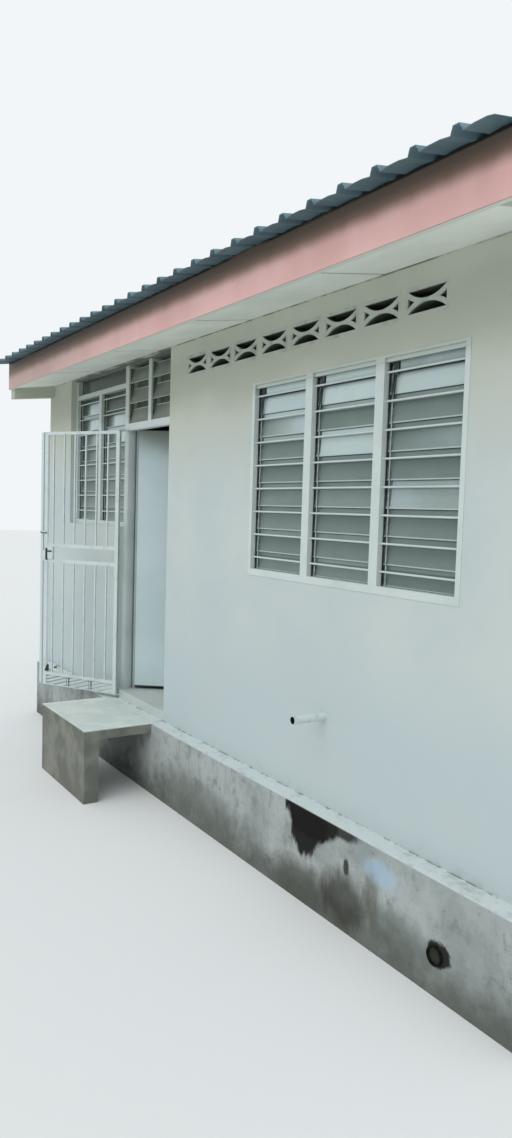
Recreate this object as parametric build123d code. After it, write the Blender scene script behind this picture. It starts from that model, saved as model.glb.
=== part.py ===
from build123d import *
from math import cos, radians, sin, tan
import os

# A single-storey terraced house between two party lines, in millimetres.
# X runs along the row, Y from the lane side (-Y) to the street side (+Y), Z up.
# The origin is in the middle of the plan, at the foot of the plinth.

# House body
house_width = 6100          # between the centres of the two party walls
house_depth = 10600         # between the outer faces of the two long walls
floor_level = 600           # top of the floor above the foot of the plinth
party_wall = 115            # brick party wall, plastered
wall = 150                  # long wall, plastered on both faces
soffit_height = 2700        # floor to the line where the soffit meets the wall
ledge_drop = 70             # the plinth's top lies this far below the floor
ledge_width = 110           # the plinth stands proud of the wall
slab_seat = 100             # bearing of the floor slab on the plinth
slab_thick = 100

# Roof
roof_pitch = 9.0
overhang = 420              # wall face to the outer face of the fascia
fascia_thick = 25
fascia_height = 252
soffit_board = 6
board_length = 1240         # soffit boards, butt jointed along the row
board_gap = 3
board_start = 1255          # first joint from the left party line
sheet_reach = 130           # roof sheet past the fascia
sheet_thick = 2
rib_pitch = 218.3
rib_height = 30
rib_base = 62
rib_top = 30
rib_shift = 11              # the ribs lie this far left of the middle of the row
pan_crown = 60              # flat crown in the middle of each pan between two ribs
pan_rise = 6
ridge_flange = 230
ridge_gap = 20
purlin_width = 75
purlin_depth = 150
purlin_spacing = 1150
first_purlin = 700
ridge_purlin = 120          # last purlin to the ridge
beam_root_drop = 108        # party beam below the soffit, at the wall
beam_end_drop = 90          # party beam below the fascia's lower edge
ring_beam_height = 150      # above the soffit line

# Openings, measured along the row from the left party line and up from the floor
entry_left = 550
small_width = 1170          # window beside the door
doorway_width = 930         # posts included
small_sill = 1360
small_drop = 190            # clear head of the small window below the soffit line
big_width = 1780
big_height = 1175
big_drop = 395              # head of the wide window below the soffit line
big_margin = 520            # wide window to the right party line
vent_start = 410            # entry frame to the centre of the first vent block
vent_pitch = 318.6
vent_end = 700              # least distance from the last block's centre to the right party line
vent_drop = 105             # top of the vent course below the soffit line
vent_course_height = 145
vent_block_width = 293
vent_opening_width = 253
vent_opening_height = 105
vent_block_depth = 90
vent_web = 17               # where the two curved bars meet
vent_side_depth = 45        # small side hole, in from the block's side
vent_side_height = 47

# Joinery
frame_setback = 50          # entry frame behind the wall face
frame_depth = 100
frame_side = 50
frame_rail = 40
head_rail = 14              # top rail of the entry frame, under the soffit
hinge_post = 65
fanlight_post = 55
small_mullion = 55
door_head = 2165            # underside of the door head above the floor
door_head_rail = 45
big_frame_side = 30
big_mullion = 65
big_frame_top = 13
big_frame_bottom = 40
head_strip = 22             # set-back strip under the wide window's head, over the blades
head_strip_setback = 8
head_strip_thick = 20
big_frame_depth = 75
big_frame_proud = 3

# Louvres
blade_thick = 5
blade_chord = 152           # standard louvre glass, nearly shut
blade_tilt = 4.0
blade_gap = 2               # first and last blade to the frame
louvre_pitch = 140
least_blade = 60            # a last blade narrower than this is left out
louvre_depth = 45           # blade centre behind the frame's face
fan_chord = 120             # fanlight blades stand apart, open
fan_tilt = 16.5
fan_pitch = 162
fan_edge = 5                # first and last blade to the frame
fan_depth = 30
fan_head = 40               # fanlight blades end this far below the soffit line
channel_thick = 3
channel_depth = 34
pane_thick = 6

# Kitchen door
leaf_thick = 38
leaf_gap = 5                # at the hinge side and the head
leaf_free_gap = 7           # at the free side, room for the leaf's thickness to swing
leaf_floor_gap = 20
door_open_angle = 53.0      # as photographed
knob_height = 1000
knob_backset = 62
knob_radius = 26
knob_neck = 11
knob_rose = 6
knob_reach = 40             # leaf to the middle of the ball
knob_flat = 6
hinge_barrel = 13
hinge_length = 100
hinge_flap = 30
hinge_flap_thick = 2.5
hinge_clearance = 0.3
hinge_end = 250             # centre of the outer hinges to the floor and the head

# Security gate
gate_width = 765            # hinge axis to the free stile's outer side
gate_bottom = -40           # relative to the floor
gate_top = 2147
gate_tube = 25
gate_stile = 34             # stiles are wider than the rails along the gate
gate_flange = 60            # cover strip past the free stile, on its outer face
gate_flange_thick = 4
gate_axis_out = 36          # hinge axis in front of the wall face
gate_axis_in = 76           # hinge axis right of the wall's edge
gate_open_angle = 149.0     # as photographed
gate_bar = 12
gate_bar_count = 6
gate_first_bar = 105        # from the hinge axis
gate_bar_pitch = 114
lock_rail_low = 1030
lock_rail_high = 1165
lock_flat = 30
lock_flat_thick = 6
lock_case_width = 60
lock_case_thick = 22
foot_flat = 6               # flat bar along the gate's foot
kick_height = 86            # gate's foot to the underside of the kick rail
kick_fields = 3
kick_plate_thick = 3
kick_slats = 4
kick_slat_width = 12
kick_slat_thick = 3
kick_slant = 16             # the slats rise towards the hinge side
gate_pin = 12
gate_pin_length = 20        # inside the hinge stile
pin_clearance = 0.5
bracket_thick = 6
bracket_width = 56
bracket_nose = 18           # bracket's end past the hinge axis
bracket_gap = 1

# Outside
step_left = 1740
step_right = 2680
step_reach = 630
step_thick = 70
bearer = 110
pipe_inset = 830            # pipe right of the wide window's left side
pipe_height = 420
pipe_outer = 45
pipe_wall = 3
pipe_out = 210

os.makedirs("parts", exist_ok=True)

slope = tan(radians(roof_pitch))
half_width = house_width / 2
half_depth = house_depth / 2
inner_left = party_wall / 2
inner_right = house_width - party_wall / 2
plinth_top = floor_level - ledge_drop
soffit_z = floor_level + soffit_height
fascia_bottom = soffit_z - overhang * slope
sheet_at_fascia = fascia_bottom + fascia_height
door_side = entry_left + small_width
entry_right = door_side + doorway_width
small_head = soffit_height - small_drop
big_right = house_width - big_margin
big_left = big_right - big_width
big_top = soffit_height - big_drop
big_bottom = big_top - big_height
pipe_place = big_left + pipe_inset
vent_course_top = soffit_height - vent_drop
vent_course_bottom = vent_course_top - vent_course_height


def save(name, *solids):
    """Write one node: its solids as one STEP file."""
    shape = solids[0] if len(solids) == 1 else Compound(children=list(solids))
    export_step(shape, f"parts/{name}.step")


def block(s0, s1, y0, y1, z0, z1):
    """A box from its limits: s from the left party line, y in from the lane face."""
    centre = ((s0 + s1) / 2 - half_width, (y0 + y1) / 2 - half_depth, (z0 + z1) / 2)
    return Pos(*centre) * Box(s1 - s0, y1 - y0, z1 - z0)


def profile_bar(s0, s1, points):
    """A bar along the row with a (y, z) outline."""
    plane = Plane(origin=(s0 - half_width, -half_depth, 0), x_dir=(0, 1, 0), z_dir=(1, 0, 0))
    outline = make_face(Polyline(*points, close=True))
    return extrude(plane * outline, amount=s1 - s0)


def street_side(shape):
    """The same piece on the street side: half a turn about the middle of the plan."""
    return shape.rotate(Axis.Z, 180)


def sheet_underside(y):
    """Height of the roof sheet's underside, y in from the wall face."""
    return sheet_at_fascia + (y + overhang) * slope


# Ground works and floor

def plinth():
    """Concrete wall under the long wall, with a seat for the floor slab on its inner side."""
    upright = block(-inner_left, house_width + inner_left, -ledge_width, wall, 0, plinth_top)
    seat = block(inner_left, inner_right, wall, wall + slab_seat, 0, floor_level - slab_thick)
    return upright + seat


def party_plinths():
    y0, y1 = wall, house_depth - wall
    left = block(-inner_left, inner_left, y0, y1, 0, plinth_top)
    right = block(inner_right, inner_right + party_wall, y0, y1, 0, plinth_top)
    return left, right


def floor_slab():
    slab = block(inner_left, inner_right, wall, house_depth - wall, floor_level - slab_thick, floor_level)
    sill = block(door_side, entry_right, 0, wall, plinth_top, floor_level)
    return slab + sill + street_side(sill)


def doorstep():
    return block(step_left, step_right, -step_reach, -ledge_width, plinth_top - step_thick, plinth_top)


def doorstep_bearer():
    return block(step_left, step_right, -step_reach, bearer - step_reach, 0, plinth_top - step_thick)


# Walls

def party_wall_left():
    """Brick wall with a gable top that follows both roof slopes."""
    ridge = sheet_underside(half_depth)
    outline = [(0, plinth_top), (house_depth, plinth_top), (house_depth, sheet_underside(0)),
               (half_depth, ridge), (0, sheet_underside(0))]
    return profile_bar(-party_wall / 2, party_wall / 2, outline)


def wall_piece(s0, s1, z0, z1):
    """Part of a long wall, heights above the floor."""
    return block(s0, s1, 0, wall, floor_level + z0, floor_level + z1)


def ring_beam():
    """Concrete beam over the wall, with a lower part over the vent course."""
    beam = wall_piece(inner_left, inner_right, soffit_height, soffit_height + ring_beam_height)
    return beam + wall_piece(entry_right, inner_right, vent_course_top, soffit_height)


def vent_places():
    """Centres of the vent blocks along the row."""
    first = entry_right + vent_start
    count = int((house_width - vent_end - first) // vent_pitch) + 1
    return [first + i * vent_pitch for i in range(count)]


def vent_course():
    """Course of wall with a hole for each vent block."""
    course = wall_piece(entry_right, inner_right, vent_course_bottom, vent_course_top)
    for s in vent_places():
        half = vent_block_width / 2
        course -= wall_piece(s - half, s + half, vent_course_bottom, vent_course_top)
    return course


def vent_block(s):
    """Precast block: two curved bars that meet in the middle of an open frame."""
    half_w, half_h = vent_opening_width / 2, vent_opening_height / 2
    height = vent_course_top - vent_course_bottom
    rise = half_h - vent_web / 2
    bow = ((half_w ** 2) + rise ** 2) / (2 * rise)
    lens = Pos(0, vent_web / 2 + bow) * Circle(bow)
    apex, edge = half_w - vent_side_depth, vent_side_height / 2
    lift = (half_w ** 2 + edge ** 2 - apex ** 2) / (2 * edge)
    outer = Pos(0, lift) * Circle((apex ** 2 + lift ** 2) ** 0.5)
    opening = Rectangle(vent_opening_width, vent_opening_height)
    top_hole = opening & lens
    side_holes = opening - outer - outer.mirror(Plane.XZ)
    face = Rectangle(vent_block_width, height) - top_hole - top_hole.mirror(Plane.XZ) - side_holes
    middle = floor_level + (vent_course_bottom + vent_course_top) / 2
    place = Plane(origin=(s - half_width, -half_depth, middle), x_dir=(1, 0, 0), z_dir=(0, -1, 0))
    return extrude(place * face, amount=-vent_block_depth)


# Window and door frames

def big_bays():
    """Left and right limits of the three bays of the wide window."""
    clear = big_right - big_left - 2 * big_frame_side - 2 * big_mullion
    bay = clear / 3
    return [(big_left + big_frame_side + i * (bay + big_mullion),
             big_left + big_frame_side + i * (bay + big_mullion) + bay) for i in range(3)]


def big_frame():
    y0, y1 = -big_frame_proud, big_frame_depth
    bottom, top = floor_level + big_bottom, floor_level + big_top
    frame = block(big_left, big_right, y0, y1, bottom, top)
    for s0, s1 in big_bays():
        frame -= block(s0, s1, y0, y1, bottom + big_frame_bottom, top - big_frame_top)
        head = top - big_frame_top
        frame += block(s0, s1, head_strip_setback, head_strip_setback + head_strip_thick,
                       head - head_strip, head)
    return frame


def small_bays():
    """Limits of the two bays of the window beside the door."""
    left, right = entry_left + frame_side, door_side
    bay = (right - left - small_mullion) / 2
    return [(left, left + bay), (right - bay, right)]


def fanlight_bays():
    left, right = door_side + hinge_post, entry_right - frame_side
    bay = (right - left - fanlight_post) / 2
    return [(left, left + bay), (right - bay, right)]


def frame_box(s0, s1, z0, z1):
    """A member of the entry frame, heights above the floor."""
    return block(s0, s1, frame_setback, frame_setback + frame_depth, floor_level + z0, floor_level + z1)


def door_frame():
    """Posts, head and transom of the doorway and its fanlight."""
    frame = frame_box(door_side, door_side + hinge_post, 0, soffit_height)
    frame += frame_box(entry_right - frame_side, entry_right, 0, soffit_height)
    left, right = door_side + hinge_post, entry_right - frame_side
    frame += frame_box(left, right, door_head, door_head + door_head_rail)
    frame += frame_box(left, right, soffit_height - head_rail, soffit_height)
    post = fanlight_bays()[0][1]
    return frame + frame_box(post, post + fanlight_post, door_head + door_head_rail,
                             soffit_height - head_rail)


def entry_frame():
    """One frame for the small window, the light above it, the door and its fanlight."""
    frame = door_frame()
    frame += frame_box(entry_left, entry_left + frame_side, small_sill, soffit_height)
    left, right = entry_left + frame_side, door_side
    for z0, z1 in ((small_sill, small_sill + frame_rail), (small_head, small_head + frame_rail),
                   (soffit_height - head_rail, soffit_height)):
        frame += frame_box(left, right, z0, z1)
    mullion = small_bays()[0][1]
    return frame + frame_box(mullion, mullion + small_mullion, small_sill + frame_rail, small_head)


# Louvres

def blade(s0, s1, z, chord, tilt, depth):
    """One glass blade, lower edge outwards, its centre z above the floor."""
    centre = ((s0 + s1) / 2 - half_width, depth - half_depth, floor_level + z)
    return Pos(*centre) * Rot(-tilt, 0, 0) * Box(s1 - s0 - 2 * channel_thick, blade_thick, chord)


def blades(s0, s1, bottom, top, depth):
    """Glass blades of one bay, nearly shut, down from the head; the last is cut at the sill."""
    angle = radians(blade_tilt)
    bay = []
    high = top - blade_gap
    while high - bottom > least_blade:
        low = max(high - blade_chord * cos(angle), bottom + blade_gap)
        chord = (high - low) / cos(angle)
        lean = (blade_chord - chord) / 2 * sin(angle)
        bay.append(blade(s0, s1, (high + low) / 2, chord, blade_tilt, depth + lean))
        high -= louvre_pitch
    return bay


def open_blades(s0, s1, bottom, top, depth):
    """Glass blades of one fanlight bay, with a gap over each."""
    end = fan_edge + fan_chord * cos(radians(fan_tilt)) / 2
    first, last = bottom + end, top - end
    steps = max(round((last - first) / fan_pitch), 1)
    heights = [first + i * (last - first) / steps for i in range(steps + 1)]
    return [blade(s0, s1, z, fan_chord, fan_tilt, depth) for z in heights]


def channels(s0, s1, bottom, top, depth):
    """The pair of upright holders at the sides of one bay."""
    y0, y1 = depth - channel_depth / 2, depth + channel_depth / 2
    z0, z1 = floor_level + bottom, floor_level + top
    return [block(s0, s0 + channel_thick, y0, y1, z0, z1),
            block(s1 - channel_thick, s1, y0, y1, z0, z1)]


# Kitchen door

door_left = door_side + hinge_post + leaf_gap
door_right = entry_right - frame_side - leaf_free_gap
door_inner = frame_setback + frame_depth
door_axis = (door_left - half_width, door_inner + hinge_barrel / 2 - half_depth)


def swing(shape, axis, degrees):
    """Turn a piece about an upright axis at (x, y)."""
    return Pos(axis[0], axis[1], 0) * Rot(0, 0, degrees) * Pos(-axis[0], -axis[1], 0) * shape


def door_leaf():
    z0, z1 = floor_level + leaf_floor_gap, floor_level + door_head - leaf_gap
    return block(door_left, door_right, door_inner - leaf_thick, door_inner, z0, z1)


def hinge_heights():
    return floor_level + hinge_end, floor_level + door_head / 2, floor_level + door_head - hinge_end


def door_hinges():
    """Barrels on the axis, each with a flap fixed to the inner face of the post."""
    hinges = []
    for z in hinge_heights():
        radius = hinge_barrel / 2 - hinge_clearance
        barrel = Pos(door_axis[0], door_axis[1], z) * Cylinder(radius, hinge_length)
        flap = block(door_left - hinge_flap, door_left, door_inner, door_inner + hinge_flap_thick,
                     z - hinge_length / 2, z + hinge_length / 2)
        hinges.append(barrel + flap)
    return hinges


def door_flaps():
    """The hinges' flaps on the leaf, clear of the barrels."""
    start = door_left + hinge_barrel / 2
    flaps = []
    for z in hinge_heights():
        flaps.append(block(start, door_left + hinge_flap, door_inner, door_inner + hinge_flap_thick,
                           z - hinge_length / 2, z + hinge_length / 2))
    return flaps


def door_knobs():
    """A knob on a rose at each face of the leaf."""
    rose = Cylinder(knob_radius, knob_rose, align=(Align.CENTER, Align.CENTER, Align.MIN))
    neck = Cylinder(knob_neck, knob_reach, align=(Align.CENTER, Align.CENTER, Align.MIN))
    ball = Pos(0, 0, knob_reach) * Sphere(knob_radius)
    ball -= Pos(0, 0, knob_reach + knob_radius) * Box(2 * knob_radius, 2 * knob_radius, 2 * knob_flat)
    knob = rose + neck + ball
    x = door_right - knob_backset - half_width
    z = floor_level + knob_height
    outside = Pos(x, door_inner - leaf_thick - half_depth, z) * Rot(90, 0, 0) * knob
    inside = Pos(x, door_inner - half_depth, z) * Rot(-90, 0, 0) * knob
    return outside, inside


# Security gate

gate_axis = (door_side + gate_axis_in - half_width, -gate_axis_out - half_depth)
gate_free = door_side + gate_axis_in + gate_width
stile_left = door_side + gate_axis_in - gate_stile / 2


def gate_box(s0, s1, z0, z1, thick=gate_tube):
    """A gate member centred on the gate's plane, heights above the floor."""
    return block(s0, s1, -gate_axis_out - thick / 2, -gate_axis_out + thick / 2,
                 floor_level + z0, floor_level + z1)


def gate_frame():
    """Stiles, rails, foot bar, the cover strip and the two flats that carry the lock."""
    inner0, inner1 = stile_left + gate_stile, gate_free - gate_stile
    frame = gate_box(stile_left, inner0, gate_bottom, gate_top)
    frame += gate_box(inner1, gate_free, gate_bottom, gate_top)
    for z0 in (gate_bottom + kick_height, gate_top - gate_tube):
        frame += gate_box(inner0, inner1, z0, z0 + gate_tube)
    frame += gate_box(inner0, inner1, gate_bottom, gate_bottom + foot_flat)
    face = -gate_axis_out - gate_tube / 2
    frame += block(gate_free - gate_tube / 2, gate_free + gate_flange, face - gate_flange_thick, face,
                   floor_level + gate_bottom, floor_level + gate_top)
    for z0 in (lock_rail_low, lock_rail_high):
        frame += gate_box(inner0, inner1, z0, z0 + lock_flat, lock_flat_thick)
    hole = gate_pin / 2 + pin_clearance
    depth = 2 * gate_tube
    for z in (gate_bottom, gate_top):
        frame -= Pos(gate_axis[0], gate_axis[1], floor_level + z) * Cylinder(hole, depth)
    return frame


def gate_bars():
    """Upright bars in two heights, between the rails."""
    low = gate_bottom + kick_height + gate_tube
    bars = []
    for i in range(gate_bar_count):
        s = door_side + gate_axis_in + gate_first_bar + i * gate_bar_pitch
        for z0, z1 in ((low, lock_rail_low), (lock_rail_high + lock_flat, gate_top - gate_tube)):
            bars.append(gate_box(s - gate_bar / 2, s + gate_bar / 2, z0, z1, gate_bar))
    return bars


def gate_kick_panel():
    """Low plate with two uprights and, in each of its three fields, slanting slats."""
    inner0, inner1 = stile_left + gate_stile, gate_free - gate_stile
    z0, z1 = gate_bottom + foot_flat, gate_bottom + kick_height
    field = (inner1 - inner0) / kick_fields
    panel = gate_box(inner0, inner1, z0, z1, kick_plate_thick)
    for i in range(1, kick_fields):
        s = inner0 + i * field
        panel += gate_box(s - gate_bar / 2, s + gate_bar / 2, z0, z1, gate_bar)
    limits = gate_box(inner0, inner1, z0, z1, gate_tube)
    pitch = (z1 - z0) / kick_slats
    for i in range(kick_fields):
        s = inner0 + (i + 0.5) * field
        for j in range(kick_slats):
            z = floor_level + z0 + (j + 0.5) * pitch
            slat = Rot(0, kick_slant, 0) * Box(field, kick_slat_width, kick_slat_thick)
            panel += Pos(s - half_width, -gate_axis_out - half_depth, z) * slat & limits
    return panel


def gate_lock():
    """Lock case between the two flats at the free stile."""
    z0, z1 = lock_rail_low + lock_flat, lock_rail_high
    s1 = gate_free - gate_stile
    return gate_box(s1 - lock_case_width, s1, z0, z1, lock_case_thick)


def gate_brackets():
    """Two arms from the hinge post, each with a pin that enters the hinge stile."""
    pieces = []
    s1 = door_side + gate_axis_in + bracket_nose
    s0 = s1 - bracket_width
    reach = -gate_axis_out - gate_pin
    length = bracket_gap + gate_pin_length
    low = floor_level + gate_bottom - bracket_gap - bracket_thick
    high = floor_level + gate_top + bracket_gap
    for z, up, root in ((low, 1, 0), (high, -1, frame_setback)):
        arm = block(s0, s1, reach, root, z, z + bracket_thick)
        start = z + bracket_thick if up > 0 else z
        middle = start + up * length / 2
        pin = Pos(gate_axis[0], gate_axis[1], middle) * Cylinder(gate_pin / 2, length)
        pieces.append(arm + pin)
    return pieces


# Roof

def roof_sheet():
    """Ribbed sheet with crowned pans from the eave to the ridge, cut at the party walls."""
    edge = -overhang - sheet_reach
    length = (half_depth - edge - ridge_gap / 2) / cos(radians(roof_pitch))
    outer = half_width + party_wall / 2
    count = int(outer // rib_pitch) + 1
    top, under = [], []
    for i in range(-count, count + 1):
        s = (i + 0.5) * rib_pitch + rib_shift
        foot, crest = rib_base / 2, rib_top / 2
        pan0, pan1 = (rib_pitch - pan_crown) / 2, (rib_pitch + pan_crown) / 2
        for dx, z in ((-foot, 0), (-crest, rib_height), (crest, rib_height), (foot, 0),
                      (pan0, pan_rise), (pan1, pan_rise)):
            if -outer < s + dx < outer:
                under.append((s + dx, z))
                top.append((s + dx, z + sheet_thick))
    ends = [(outer, 0), (outer, sheet_thick)]
    outline = [(-outer, 0)] + under + ends + top[::-1] + [(-outer, sheet_thick)]
    face = make_face(Polyline(*outline, close=True))
    angle = radians(roof_pitch)
    plane = Plane(origin=(0, edge - half_depth, sheet_underside(edge)), x_dir=(-1, 0, 0),
                  z_dir=(0, cos(angle), sin(angle)))
    return extrude(plane * face, amount=length)


def ridge_cap():
    """Folded strip over the ridge, resting on the ribs of both slopes."""
    rise = (rib_height + sheet_thick) / cos(radians(roof_pitch))
    reach = ridge_flange * cos(radians(roof_pitch))
    low = sheet_underside(half_depth - reach) + rise
    high = sheet_underside(half_depth) + rise
    outline = [(half_depth - reach, low), (half_depth, high), (half_depth + reach, low),
               (half_depth + reach, low + sheet_thick), (half_depth, high + sheet_thick),
               (half_depth - reach, low + sheet_thick)]
    return profile_bar(-party_wall / 2, house_width + party_wall / 2, outline)


def purlins():
    """Rectangular purlins under the sheets, between the party walls."""
    bars = []
    angle = radians(roof_pitch)
    last = half_depth - ridge_purlin
    places = []
    y = first_purlin
    while y < last - purlin_spacing / 2:
        places.append(y)
        y += purlin_spacing
    for y in places + [last]:
        middle = sheet_underside(y)
        bar = Pos(0, y - half_depth, middle) * Rot(roof_pitch, 0, 0)
        bar = bar * Pos(0, 0, -purlin_depth / 2) * Box(inner_right - inner_left, purlin_width, purlin_depth)
        bars.append(bar)
    return bars


def eave_beams():
    """Party beams out under the eave that carry the fascia: the left one hangs lower."""
    y = fascia_thick - overhang
    beams = []
    for s0, root, end in ((-party_wall / 2, soffit_z - beam_root_drop, fascia_bottom - beam_end_drop),
                          (inner_right, soffit_z, soffit_z + y * slope)):
        outline = [(0, root), (0, sheet_underside(0)), (y, sheet_underside(y)), (y, end)]
        beams.append(profile_bar(s0, s0 + party_wall, outline))
    return beams


def fascia():
    return block(-party_wall / 2, house_width + party_wall / 2, -overhang, fascia_thick - overhang,
                 fascia_bottom, sheet_at_fascia)


def soffit():
    """Boards from the wall to the fascia, parallel to the roof, with open joints."""
    y = fascia_thick - overhang
    outline = [(0, soffit_z), (0, soffit_z + soffit_board), (y, soffit_z + soffit_board + y * slope),
               (y, soffit_z + y * slope)]
    boards = []
    start = inner_left
    joint = board_start
    while start < inner_right:
        end = min(joint, inner_right)
        boards.append(profile_bar(start, end - (board_gap if end < inner_right else 0), outline))
        start = end
        joint += board_length
    return boards


def overflow_pipe():
    """Plastic pipe through the wall, open at its mouth."""
    length = wall + pipe_out
    place = Pos(pipe_place - half_width, (wall - pipe_out) / 2 - half_depth, floor_level + pipe_height)
    ring = Cylinder(pipe_outer / 2, length) - Cylinder(pipe_outer / 2 - pipe_wall, length)
    return place * Rot(90, 0, 0) * ring


def below_big_window():
    """Wall under the wide window, with the hole for the pipe."""
    panel = wall_piece(big_left, big_right, -ledge_drop, big_bottom)
    hole = Pos(pipe_place - half_width, wall / 2 - half_depth, floor_level + pipe_height)
    return panel - hole * Rot(90, 0, 0) * Cylinder(pipe_outer / 2, wall)


# Assemble and write the nodes

save("rear_plinth", plinth())
save("front_plinth", street_side(plinth()))
save("party_plinths", *party_plinths())
save("floor_slab", floor_slab())
save("doorstep_slabs", doorstep(), street_side(doorstep()))
save("doorstep_bearers", doorstep_bearer(), street_side(doorstep_bearer()))

save("left_party_wall", party_wall_left())
save("right_party_wall", Pos(house_width, 0, 0) * party_wall_left())
save("eave_beams", *eave_beams(), *[street_side(b) for b in eave_beams()])

side_pier = wall_piece(inner_left, entry_left, -ledge_drop, soffit_height)
low_panel = wall_piece(entry_left, door_side, -ledge_drop, small_sill)
middle_pier = wall_piece(entry_right, big_left, -ledge_drop, vent_course_bottom)
end_pier = wall_piece(big_right, inner_right, -ledge_drop, vent_course_bottom)
over_window = wall_piece(big_left, big_right, big_top, vent_course_bottom)
save("rear_wall_piers", side_pier, middle_pier, end_pier)
save("rear_wall_panels", low_panel, below_big_window(), over_window)
save("rear_vent_course", vent_course())
save("rear_vent_blocks", *[vent_block(s) for s in vent_places()])
save("rear_ring_beam", ring_beam())

wide_pier = wall_piece(inner_left, door_side, -ledge_drop, soffit_height)
front_panel = wall_piece(big_left, big_right, -ledge_drop, big_bottom)
save("front_wall_piers", *[street_side(p) for p in (wide_pier, middle_pier, end_pier)])
save("front_wall_panels", street_side(front_panel), street_side(over_window))
save("front_vent_course", street_side(vent_course()))
save("front_vent_blocks", *[street_side(vent_block(s)) for s in vent_places()])
save("front_ring_beam", street_side(ring_beam()))

big_clear = (big_bottom + big_frame_bottom, big_top - big_frame_top - head_strip)
small_clear = (small_sill + frame_rail, small_head)
fan_clear = (door_head + door_head_rail, soffit_height - fan_head)
entry_depth = frame_setback + louvre_depth
fan_light_depth = frame_setback + fan_depth
big_blades = [b for s0, s1 in big_bays() for b in blades(s0, s1, *big_clear, louvre_depth)]
big_channels = [c for s0, s1 in big_bays() for c in channels(s0, s1, *big_clear, louvre_depth)]
small_blades = [b for s0, s1 in small_bays() for b in blades(s0, s1, *small_clear, entry_depth)]
small_channels = [c for s0, s1 in small_bays() for c in channels(s0, s1, *small_clear, entry_depth)]
fan_blades = [b for s0, s1 in fanlight_bays() for b in open_blades(s0, s1, *fan_clear, fan_light_depth)]
fan_channels = [c for s0, s1 in fanlight_bays() for c in channels(s0, s1, *fan_clear, fan_light_depth)]
fixed_light = block(entry_left + frame_side, door_side, entry_depth - pane_thick / 2,
                    entry_depth + pane_thick / 2, floor_level + small_head + frame_rail,
                    floor_level + soffit_height - head_rail)

save("big_window_frame", big_frame())
save("big_window_louvres", *big_blades)
save("entry_frame", entry_frame())
save("entry_louvres", *small_blades, *fan_blades)
save("fixed_light", fixed_light)
save("louvre_channels", *big_channels, *small_channels, *fan_channels)

save("front_window_frame", street_side(big_frame()))
save("front_door_frame", street_side(door_frame()))
save("front_louvres", *[street_side(b) for b in big_blades + fan_blades])
save("front_louvre_channels", *[street_side(c) for c in big_channels + fan_channels])
save("front_door", street_side(door_leaf()))
save("door_hinges", *door_hinges(), *[street_side(h) for h in door_hinges()])

save("kitchen_door", swing(door_leaf(), door_axis, door_open_angle))
fittings = [*door_knobs(), *door_flaps()]
save("kitchen_door_fittings", *[swing(f, door_axis, door_open_angle) for f in fittings])
save("gate_frame", swing(gate_frame(), gate_axis, -gate_open_angle))
save("gate_bars", *[swing(b, gate_axis, -gate_open_angle) for b in gate_bars()])
save("gate_kick_panel", swing(gate_kick_panel(), gate_axis, -gate_open_angle))
save("gate_lock", swing(gate_lock(), gate_axis, -gate_open_angle))
save("gate_brackets", *gate_brackets())

save("rear_roof_sheet", roof_sheet())
save("front_roof_sheet", street_side(roof_sheet()))
save("ridge_cap", ridge_cap())
save("roof_purlins", *purlins(), *[street_side(p) for p in purlins()])
save("fascia_boards", fascia(), street_side(fascia()))
save("soffit_boards", *soffit(), *[street_side(b) for b in soffit()])
save("overflow_pipe", overflow_pipe())
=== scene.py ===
import random
from math import cos, pi, radians, sin, tan

import bmesh
import bpy
from mathutils import Matrix, Vector


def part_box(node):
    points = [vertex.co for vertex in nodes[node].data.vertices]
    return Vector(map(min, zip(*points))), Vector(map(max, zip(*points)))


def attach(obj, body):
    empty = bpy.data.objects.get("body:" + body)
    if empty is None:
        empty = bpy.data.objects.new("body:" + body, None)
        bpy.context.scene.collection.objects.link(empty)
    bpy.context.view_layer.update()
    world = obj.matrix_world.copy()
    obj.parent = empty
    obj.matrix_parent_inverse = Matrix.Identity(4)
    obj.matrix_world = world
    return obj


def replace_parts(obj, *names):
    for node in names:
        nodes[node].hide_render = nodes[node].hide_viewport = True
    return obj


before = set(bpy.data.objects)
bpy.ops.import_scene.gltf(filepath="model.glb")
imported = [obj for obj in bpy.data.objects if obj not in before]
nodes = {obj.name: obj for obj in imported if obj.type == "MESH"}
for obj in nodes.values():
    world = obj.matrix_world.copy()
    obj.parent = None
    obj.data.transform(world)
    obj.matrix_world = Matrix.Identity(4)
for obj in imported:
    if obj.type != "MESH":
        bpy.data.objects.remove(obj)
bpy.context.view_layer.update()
chance = random.Random(7)


# Plinth
# A concrete wall under each long side, rendered and never painted, with a ledge in front of the wall above.
# It stands in the drain: rain has drawn dark streaks down it, and damp keeps its foot green and black.

floor_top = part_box("floor_slab")[1].z
wall_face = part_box("rear_wall_piers")[0].y
party_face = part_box("left_party_wall")[0].x
party_line = party_face + 0.0575
plinth_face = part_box("rear_plinth")[0].y
plinth_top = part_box("rear_plinth")[1].z


def at(s, y, z):
    """A place on the lane side: along from the left party line, in from the wall face, up from the floor."""
    return Vector((party_line + s, wall_face + y, floor_top + z))


def linear(code):
    """The linear colour of an sRGB hex code."""
    parts = [int(code[i:i + 2], 16) / 255 for i in (0, 2, 4)]
    return [p / 12.92 if p <= 0.04045 else ((p + 0.055) / 1.055) ** 2.4 for p in parts] + [1.0]


def add(tree, kind, inputs=None, **settings):
    """Adds a node with its settings, each input a value or the socket that feeds it."""
    node = tree.nodes.new(kind)
    for name, value in settings.items():
        setattr(node, name, value)
    for name, value in (inputs or {}).items():
        if isinstance(value, bpy.types.NodeSocket):
            tree.links.new(value, node.inputs[name])
        else:
            node.inputs[name].default_value = value
    return node


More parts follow.
